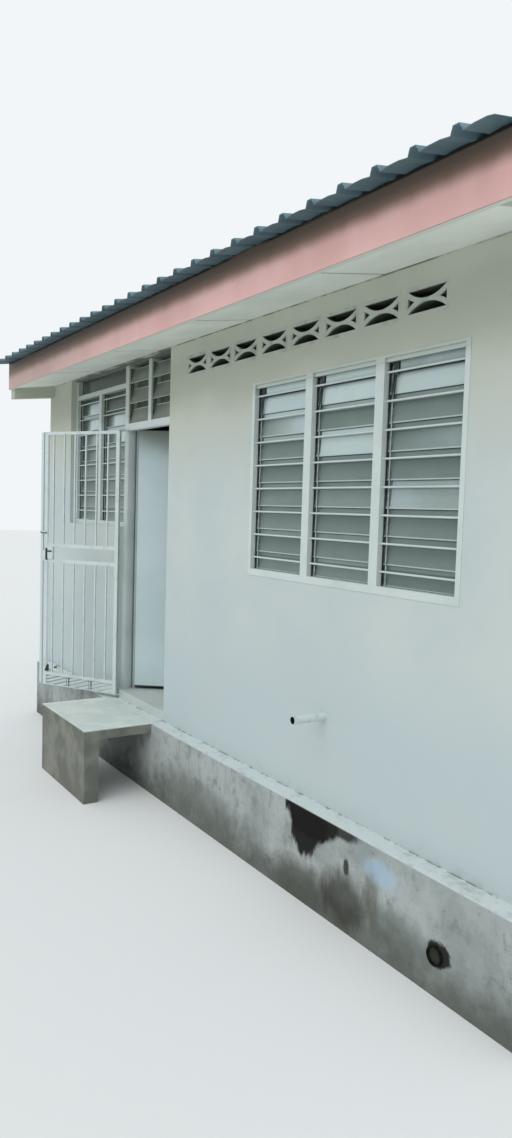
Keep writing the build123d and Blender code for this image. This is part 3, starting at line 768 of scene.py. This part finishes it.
def black_gauze():
    """Woven wire gone dusty green. The real weave of 1.5 mm is too fine to show and is drawn at 6 mm."""
    material, shader, place = new_finish("black_gauze", 0.9, specular=0.1)
    tree = material.node_tree
    parts = add(tree, "ShaderNodeSeparateXYZ", {0: place}).outputs
    waves = [add(tree, "ShaderNodeMath", {0: parts[n], 1: wire_pitch / 2}, operation="PINGPONG").outputs[0]
             for n in ("X", "Z")]
    across, up = [rise(wave, 0.0012, 0.0006) for wave in waves]
    wires = add(tree, "ShaderNodeMath", {0: across, 1: up}, operation="MAXIMUM").outputs[0]
    # The gauze's tone stands for the dim room behind the gaps: painted shade.
    paint(shader, lay("5C6A5A", "7F8F7B", wires, 0.6))
    return material


build = bmesh.new()
for x0, x1 in fan_bays:
    y = wall_face + gauze_back
    add_block(build, (x0 - gauze_tucked, y, fan_foot - gauze_tucked),
              (x1 + gauze_tucked, y + gauze_thick, fan_head + gauze_tucked))
add_street_copy(build)
piece(build, "fly_wire", black_gauze(), "house")


# Head strips
# Over the top blade of each bay of the wide window a narrow strip of the same glass is fixed behind the
# frame's head, with a black rubber seal along its lower edge.

strip_front = 0.029
strip_below = 0.048
strip_above = 0.010
strip_clear = 0.080
strip_tone = 0.7
seal_high = 0.007
seal_front = 0.026
seal_deep = 0.012


def black_rubber():
    """Weathered rubber: matt and nearly black."""
    return new_finish("black_rubber", 0.8, colour="20282A")[0]


build = bmesh.new()
strip_y = wall_face + strip_front + blade_thick / 2
strip_z = window_head + (strip_above - strip_below) / 2
for (x0, x1), shine in zip(window_bays, (pale, pale, mid)):
    add_blade(build, x0 + strip_clear, x1, strip_y, strip_z, strip_above + strip_below, 0.0,
              (shine, shine, shine))
for vert in build.verts:
    vert[build.verts.layers.float["down"]] = strip_tone
add_street_copy(build)
piece(build, "head_glass_strips", glass, "house")

build = bmesh.new()
seal_top = window_head - strip_below
for x0, x1 in window_bays:
    add_block(build, (x0 + strip_clear, wall_face + seal_front, seal_top - seal_high),
              (x1, wall_face + seal_front + seal_deep, seal_top), 0.001)
add_street_copy(build)
piece(build, "head_seals", black_rubber(), "house")


# Grille rods
# Round steel rods, let through the mullions from side to side, guard each louvre window: one for each blade,
# painted white with the frame.

rod_radius = 0.0055
rod_pitch = 0.140
rod_count = 8
rod_drop = 0.047
rod_setback = 0.018
rod_let_in = 0.004


def add_rods(build, sides, head, face):
    left, right = sides[0][0] - rod_let_in, sides[-1][1] + rod_let_in
    for i in range(rod_count):
        z = head - rod_drop - i * rod_pitch
        add_rod(build, (left, face + rod_setback, z), (right, face + rod_setback, z), rod_radius)


build = bmesh.new()
add_rods(build, window_bays, window_head, wall_face)
add_street_copy(build)
add_rods(build, small_bays, small_head, wall_face + entry_setback)
piece(build, "grille_rods", frame_gloss, "house")


# Fixed light
# One pane of clear glass bedded in the composite frame above the small window. The room behind it is dim.

def window_glass():
    """Clear float glass with a film of dust, darkened towards the soffit with painted shade."""
    material, shader, place = new_finish("window_glass", 0.12, clear=0.35, ior=1.5)
    tone = mottle(place, "48534C", "5F6B65", 0.30, 0.38, 0.66)
    # Darker towards the soffit: painted shade.
    paint(shader, lay(tone, "333C34", rise(height_of(place), soffit_shade - 0.080, soffit_shade), 0.7))
    return material


dress(window_glass(), "fixed_light")


# Doors
# Flush plywood leaves on three steel butts, sprayed in gloss enamel. The kitchen door stands ajar, with a
# knob set of pressed stainless steel.

foot_grime = floor_top + 0.028


def sprayed_enamel():
    """Gloss enamel sprayed on plywood: an even, bluish white with a soft sheen and faint orange peel,
    greenish and darker near the head with painted shade, and black along the foot."""
    material, shader, place = new_finish("sprayed_enamel", 0.30)
    height = height_of(place)
    tone = mottle(place, "CDDFE0", "C4D7D9", 0.5, 0.40, 0.65)
    # Greenish and darker near the head: painted shade.
    tone = lay(tone, "8A9587", rise(height, floor_top + 1.90, floor_top + 2.14), 0.85)
    paint(shader, lay(tone, "2C3433", rise(height, foot_grime + 0.003, foot_grime)))
    roughen(shader, 0.0004, grain(place, 0.008, detail=2.0))
    return material


def satin_steel():
    """Pressed stainless steel with a satin polish."""
    return new_finish("satin_steel", 0.32, metallic=1.0, colour="B4B6B4")[0]


dress(sprayed_enamel(), "kitchen_door", "front_door")
dress(satin_steel(), "kitchen_door_fittings", "door_hinges")


# Door stops
# Hardwood strips nailed round each doorway, a little proud of the posts and the head, that the leaf shuts
# against. They are painted with the frame.

stop_proud = 0.012
stop_deep = 0.057
stop_front = wall_face + entry_setback

build = bmesh.new()
for left, right, foot in ((doorway_left, doorway_left + stop_proud, floor_top),
                          (doorway_right - stop_proud, doorway_right, floor_top),
                          (doorway_left, doorway_right, door_head - stop_proud)):
    add_block(build, (left, stop_front, foot), (right, stop_front + stop_deep, door_head), 0.0015)
add_street_copy(build)
piece(build, "door_stops", frame_gloss, "house")


# Security gate
# A welded mild steel grille gate, folded back against the window: square tube frame, round-edged square bars
# in two heights, two flats with the lock case between them, and a slatted kick panel at the foot.

gate_hinge = at(1.796, -0.036, 0)
gate_open = radians(149.0)
gate_way = Vector((cos(-gate_open), sin(-gate_open), 0))
gate_out = Vector((-sin(-gate_open), cos(-gate_open), 0))
free_edge = 0.765
plate_half = 0.0030
plate_left, plate_right = 0.017, 0.731
plate_foot = -0.034
plate_fields = 3
field_wide = (plate_right - plate_left) / plate_fields
slat_pitch = 0.020
slat_rise = tan(radians(16.0))


def on_gate_line(place, way):
    """How far a place lies from the hinge in this direction."""
    tree = place.id_data
    moved = add(tree, "ShaderNodeVectorMath", {0: place, 1: gate_hinge}, operation="SUBTRACT")
    return add(tree, "ShaderNodeVectorMath", {0: moved.outputs[0], 1: way},
               operation="DOT_PRODUCT").outputs["Value"]


def gate_enamel():
    """Hand-brushed gloss enamel on mild steel, with rust at the foot. The inner side face of the free stile
    is painted near white as a painted highlight, and a dark band along its cover strip is painted shadow at
    the step, with grime."""
    material, shader, place = new_finish("gate_enamel", 0.36)
    tone = mottle(place, "CBD6D5", "BCC8C8", 0.08, 0.45, 0.72, detail=5.0)
    tone = lay(tone, "8A6A4E", rise(height_of(place), floor_top + 0.30, floor_top - 0.03),
               rise(grain(place, 0.020, detail=6.0, rough=0.75), 0.58, 0.70), 0.75)
    along = on_gate_line(place, gate_way)
    # Dark band along the cover strip: painted shadow at the step, with grime.
    tone = lay(tone, "78838A", rise(apart(along, free_edge + 0.0275), 0.0085, 0.0055), 0.85)
    tone = lay(tone, "C6D5D8", rise(along, free_edge + 0.036, free_edge + 0.039))
    # Near white on the free stile's inner side face: painted highlight.
    paint(shader, lay(tone, "F2F7F6", rise(apart(along, plate_right + 0.0001), 0.0007, 0.0003)))
    roughen(shader, 0.0006, grain(place, 0.010, detail=3.0))
    return material


def slatted_enamel():
    """The gate's enamel on the kick panel, with painted shade between the slats, strongest near the free
    stile, and painted shade nearly black beside the two uprights between its fields. The slats are 20 mm
    apart, too close to show in the render, so the painted shade is drawn in lines 30 mm apart."""
    material, shader, place = new_finish("slatted_enamel", 0.4)
    tree = material.node_tree
    along = on_gate_line(place, gate_way)
    within = add(tree, "ShaderNodeMath", {0: plus(along, -plate_left), 1: field_wide}, operation="MODULO")
    foot = plate_foot + field_wide / 2 * slat_rise - 4 * slat_pitch
    level = plus(on_gate_line(place, (0, 0, 1)), times(within.outputs[0], slat_rise), -foot)
    wave = add(tree, "ShaderNodeMath", {0: level, 1: slat_pitch * 0.75}, operation="PINGPONG").outputs[0]
    fade = add(tree, "ShaderNodeMapRange", {"Value": along, "From Max": plate_right, "To Min": 0.28,
                                            "To Max": 0.78})
    # Dark lines between the slats: painted shade.
    tone = lay("CDD8D7", "5F6C69", rise(wave, slat_pitch * 0.32, slat_pitch * 0.14), fade.outputs["Result"])
    on_plate = rise(apart(on_gate_line(place, gate_out)), plate_half, plate_half - 0.001)
    # Nearly black beside the uprights: painted shade.
    for i in range(1, plate_fields):
        near = rise(apart(along, plate_left + i * field_wide), 0.020, 0.012)
        tone = lay(tone, "39413F", near, on_plate)
    paint(shader, tone)
    return material


gate_finish = gate_enamel()
dress(gate_finish, "gate_frame", "gate_bars", "gate_lock", "gate_brackets")
dress(slatted_enamel(), "gate_kick_panel")


# Gate fittings
# A black iron slide bolt works in a slot of the free stile, with a welded box for its end on the cover strip
# and a stop below; a drop bolt hangs at the foot. All are drawn on the shut gate, which is then turned open.

gate_half = 0.0125
knob_radius = 0.007
drop_radius = 0.006

# Each block from its low to its high corner: from the hinge towards the free stile, towards the room, above
# the floor. The last number is how far its edges are softened.
slide_slot = (plate_right - 0.0015, -0.009, 1.050), (plate_right + 0.019, gate_half + 0.002, 1.152), 0.0008
slide_lever = (plate_right - 0.048, gate_half - 0.006, 1.120), (plate_right, gate_half + 0.004, 1.132), 0.002
# The catch shadow is a thin black block under the catch bar: a painted shadow.
catch_shadow = (0.733, gate_half, 1.279), (0.801, gate_half + 0.006, 1.286), 0.001
stop_wedge = (0.708, 0.000, 0.079), (0.745, gate_half + 0.004, 0.134), 0.0
bolt_box = ((free_edge + 0.002, -gate_half - 0.001, 1.040),
            (free_edge + 0.022, gate_half - 0.004, 1.130), 0.002)
catch_bar = (0.729, gate_half, 1.287), (0.803, gate_half + 0.008, 1.297), 0.002
drop_plate = (0.585, 0.002, 0.080), (0.650, 0.010, 0.108), 0.0015
wedge_slant = 0.028
drop_along = 0.620


def on_gate(along, out, up):
    """A place on the shut gate."""
    return gate_hinge + Vector((along, out, up))


def black_iron():
    """Oiled iron: nearly black with a dull shine."""
    return new_finish("black_iron", 0.5, metallic=0.5, colour="2E3837")[0]


build = bmesh.new()
for low, high, soften in (slide_slot, slide_lever, catch_shadow):
    add_block(build, on_gate(*low), on_gate(*high), soften)
low, high, soften = stop_wedge
for vert in add_block(build, on_gate(*low), on_gate(*high), soften):
    if vert.co.z > on_gate(*low).z + 0.02 and vert.co.x > on_gate(*low).x + 0.02:
        vert.co.x -= wedge_slant
add_rod(build, on_gate(drop_along, 0.002, 0.122), on_gate(drop_along, 0.030, 0.122), knob_radius)
turn(build, build.verts[:], -gate_open, "Z", gate_hinge)
piece(build, "gate_bolts", black_iron(), "gate")

build = bmesh.new()
for low, high, soften in (bolt_box, catch_bar, drop_plate):
    add_block(build, on_gate(*low), on_gate(*high), soften)
add_rod(build, on_gate(drop_along, 0.006, 0.070), on_gate(drop_along, 0.006, 0.150), drop_radius)
turn(build, build.verts[:], -gate_open, "Z", gate_hinge)
piece(build, "gate_bolt_plates", gate_finish, "gate")


# Roof
# Trapezoid-ribbed steel sheets, coated grey-green, screwed through the ribs to timber purlins and closed by a
# folded ridge cap. Dust and algae have dulled them.

roof_pitch = radians(9.0)
sheet_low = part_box("rear_roof_sheet")[0]
rib_height = 0.030
rib_start = 0.008


def coated_sheet():
    """Weathered coil-coated steel: matt grey-green, streaked down the slope, paler on the ribs."""
    material, shader, place = new_finish("coated_sheet", 0.55, metallic=0.15)
    y, height = add(place.id_data, "ShaderNodeSeparateXYZ", {0: place}).outputs[1:]
    tone = mottle(place, "55707A", "67838C", 0.25, 0.38, 0.64, stretch=(1, 0.15, 1), detail=6.0)
    tone = mottle(place, tone, "40494A", 0.06, 0.55, 0.78, 0.6, stretch=(1, 0.12, 1), detail=6.0, rough=0.7)
    level = plus(height, times(apart(y), tan(roof_pitch)))
    pan = sheet_low.z - sheet_low.y * tan(roof_pitch)
    paint(shader, lay(tone, "86A2B0", rise(level, pan + rib_start, pan + rib_height), 0.48))
    roughen(shader, 0.001, grain(place, 0.15))
    return material


def sawn_timber():
    """Sawn hardwood, brown and hairy, with saw marks across."""
    material, shader, place = new_finish("sawn_timber", 0.85)
    paint(shader, mottle(place, "6E5842", "8B7357", 0.04, 0.38, 0.64, stretch=(0.08, 1, 1), detail=6.0))
    roughen(shader, 0.001, grain(place, 0.004, (0.1, 1, 1)))
    return material


dress(coated_sheet(), "rear_roof_sheet", "front_roof_sheet", "ridge_cap")
dress(sawn_timber(), "roof_purlins")


# Roof screws
# Hexagon-headed screws with wide washers, driven through the crest of each rib into each purlin.

rib_pitch = 0.2183
rib_shift = -0.011
sheet_thick = 0.002
first_purlin = 0.700
purlin_spacing = 1.150
purlins_a_side = 4
ridge_purlin = 0.120
washer_radius = 0.009
washer_thick = 0.002
washer_sunk = 0.0005
head_radius = 0.0055
head_thick = 0.0055


def sheet_top(y):
    """Height of the top of the ribs over a place on the lane-side slope."""
    return sheet_low.z + (y - sheet_low.y) * tan(roof_pitch) + (rib_height + sheet_thick) / cos(roof_pitch)


def add_screw(build, x, y):
    up = Vector((0, -sin(roof_pitch), cos(roof_pitch)))
    foot = Vector((x, y, sheet_top(y) - washer_sunk))
    add_rod(build, foot, foot + up * washer_thick, washer_radius)
    add_rod(build, foot + up * washer_thick, foot + up * (washer_thick + head_thick), head_radius, 6)


screw_rows = [wall_face + first_purlin + i * purlin_spacing for i in range(purlins_a_side)] + [-ridge_purlin]
ribs_a_half = int(-party_face // rib_pitch) + 1
rib_lines = [(i + 0.5) * rib_pitch + rib_shift for i in range(-ribs_a_half, ribs_a_half + 1)]
rib_lines = [x for x in rib_lines if abs(x) < -party_face - rib_pitch / 4]

build = bmesh.new()
for y in screw_rows:
    for x in rib_lines:
        add_screw(build, x, y)
add_street_copy(build)
piece(build, "roof_screws", satin_steel(), "house")


# Fascia and soffit
# The fascia is a wide board painted pink, brown at the top with soot where the roof sheet drips and with
# painted shade where it overhangs, under a broken painted shadow line. The soffit is thin fibre-cement board,
# nailed up with open joints and painted pale green-grey.

fascia_low, fascia_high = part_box("fascia_boards")
first_joint = 1.2565
joint_pitch = 1.243
soffit_joints = 4


def fascia_gloss():
    """Old pink gloss: clean at the bottom, fading up into brown soot and painted shade under the roof's edge,
    with a broken painted shadow line along the top.
    """
    material, shader, place = new_finish("pink_gloss", 0.5, specular=0.35)
    parts = add(place.id_data, "ShaderNodeSeparateXYZ", {0: place}).outputs
    along, height = parts["X"], parts["Z"]
    foot = fascia_low.z
    tone = mottle(place, "E2B7B2", "D7AAA5", 0.5, 0.40, 0.66, stretch=(1, 1, 0.5))
    tone = lay(tone, "A08E84", rise(along, 0.2, -2.4), 0.55)
    # Brown at the top: soot and painted shade under the roof sheet.
    soot_and_shade_level = plus(height, times(grain(place, 0.15, (1, 1, 0.4)), 0.03), times(along, -0.0033))
    tone = lay(tone, "76604F", rise(soot_and_shade_level, foot + 0.110, foot + 0.185), 0.95)
    tone = lay(tone, "5E5148", rise(soot_and_shade_level, foot + 0.165, foot + 0.225), 0.90)
    # Broken black line along the top: painted shadow under the roof sheet.
    tone = lay(tone, "0E120E", rise(height, fascia_high.z - 0.014, fascia_high.z - 0.008),
               rise(grain(place, 0.5, detail=5.0), 0.36, 0.52), 0.95)
    tone = lay(tone, "75605A", rise(height, foot + 0.0050, foot + 0.0025), 0.85)
    paint(shader, lay(tone, "D9DCD2", rise(height, foot + 0.0010, foot + 0.0004)))
    roughen(shader, 0.001, grain(place, 0.02, (0.1, 1, 1)))
    return material


def soffit_paint():
    """Flat emulsion on fibre-cement board, pale green-grey, with a dark line of dust in each open joint."""
    material, shader, place = new_finish("soffit_emulsion", 0.85, specular=0.2)
    along = add(place.id_data, "ShaderNodeSeparateXYZ", {0: place}).outputs["X"]
    tone = mottle(place, "E9EEE5", "DEE3D9", 0.45, 0.38, 0.66, detail=5.0)
    for i in range(soffit_joints):
        near = rise(apart(along, at(first_joint + i * joint_pitch, 0, 0).x), 0.008, 0.004)
        tone = lay(tone, "565B53", near, 0.8)
    paint(shader, tone)
    roughen(shader, 0.001, grain(place, 0.3))
    return material


dress(fascia_gloss(), "fascia_boards")
dress(soffit_paint(), "soffit_boards")


# Overflow pipe
# A short plastic pipe, mortared into the wall under the wide window, open at its mouth.

pipe_low, pipe_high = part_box("overflow_pipe")
pipe_bore = 0.0195


def dusty_plastic():
    """White plastic pipe, chalked by the sun, a little dirty, and nearly black inside its bore."""
    material, shader, place = new_finish("dusty_plastic", 0.45)
    tree = material.node_tree
    moved = add(tree, "ShaderNodeVectorMath", {0: place, 1: (pipe_low + pipe_high) / 2}, operation="SUBTRACT")
    flat = add(tree, "ShaderNodeVectorMath", {0: moved.outputs[0], 1: (1, 0, 1)}, operation="MULTIPLY")
    radius = add(tree, "ShaderNodeVectorMath", {0: flat.outputs[0]}, operation="LENGTH").outputs["Value"]
    tone = mottle(place, "CDD8D8", "B7C1BE", 0.05, 0.45, 0.68)
    paint(shader, lay(tone, "23291F", rise(radius, pipe_bore + 0.0012, pipe_bore + 0.0004)))
    return material


dress(dusty_plastic(), "overflow_pipe")


# Studio
# A pale floor, an even pale sky and one very soft lamp from the lane side, with the camera where the
# photographer stood: outside the right end of the house, a little above its floor.

camera_place = Vector((5.10, -8.00, 2.13))
camera_turn = radians(57.614)
camera_dip = radians(4.085)
camera_roll = radians(1.679)
camera_lens = 26.01
sky_strength = 0.78
sky_colour = "F2F6F8"
sun_strength = 1.1
sun_angle = radians(60)
sun_way = Vector((-0.35, 0.75, -0.95))
floor_reach = 60.0

scene = bpy.context.scene
camera_data = bpy.data.cameras.new("camera")
camera_data.lens = camera_lens
camera_data.sensor_width = 36.0
camera = bpy.data.objects.new("camera", camera_data)
scene.collection.objects.link(camera)
camera.matrix_world = (Matrix.Translation(camera_place) @ Matrix.Rotation(camera_turn, 4, "Z")
                       @ Matrix.Rotation(pi / 2 - camera_dip, 4, "X") @ Matrix.Rotation(camera_roll, 4, "Z"))
scene.camera = camera

scene.world = bpy.data.worlds.new("sky")
scene.world.use_nodes = True
tree = scene.world.node_tree
tree.nodes.clear()
rays = add(tree, "ShaderNodeLightPath").outputs
seen = rays["Is Camera Ray"]
for ray in (rays["Is Transmission Ray"], rays["Is Glossy Ray"]):
    seen = add(tree, "ShaderNodeMath", {0: seen, 1: ray}, operation="MAXIMUM").outputs[0]
strength = add(tree, "ShaderNodeMapRange", {"Value": seen, "To Min": sky_strength, "To Max": 1.0})
light = add(tree, "ShaderNodeBackground", {"Color": linear(sky_colour), "Strength": strength.outputs[0]})
add(tree, "ShaderNodeOutputWorld", {"Surface": light.outputs[0]})

sun_data = bpy.data.lights.new("soft_sun", "SUN")
sun_data.energy = sun_strength
sun_data.angle = sun_angle
sun = bpy.data.objects.new("soft_sun", sun_data)
scene.collection.objects.link(sun)
sun.rotation_euler = sun_way.to_track_quat("-Z", "Y").to_euler()

build = bmesh.new()
bmesh.ops.create_grid(build, x_segments=1, y_segments=1, size=floor_reach)
mesh = bpy.data.meshes.new("studio_floor")
build.to_mesh(mesh)
build.free()
studio_floor = bpy.data.objects.new("studio_floor", mesh)
scene.collection.objects.link(studio_floor)
mesh.materials.append(new_finish("pale_floor", 0.9, colour="E9EBEB")[0])

scene.view_settings.view_transform = "Standard"
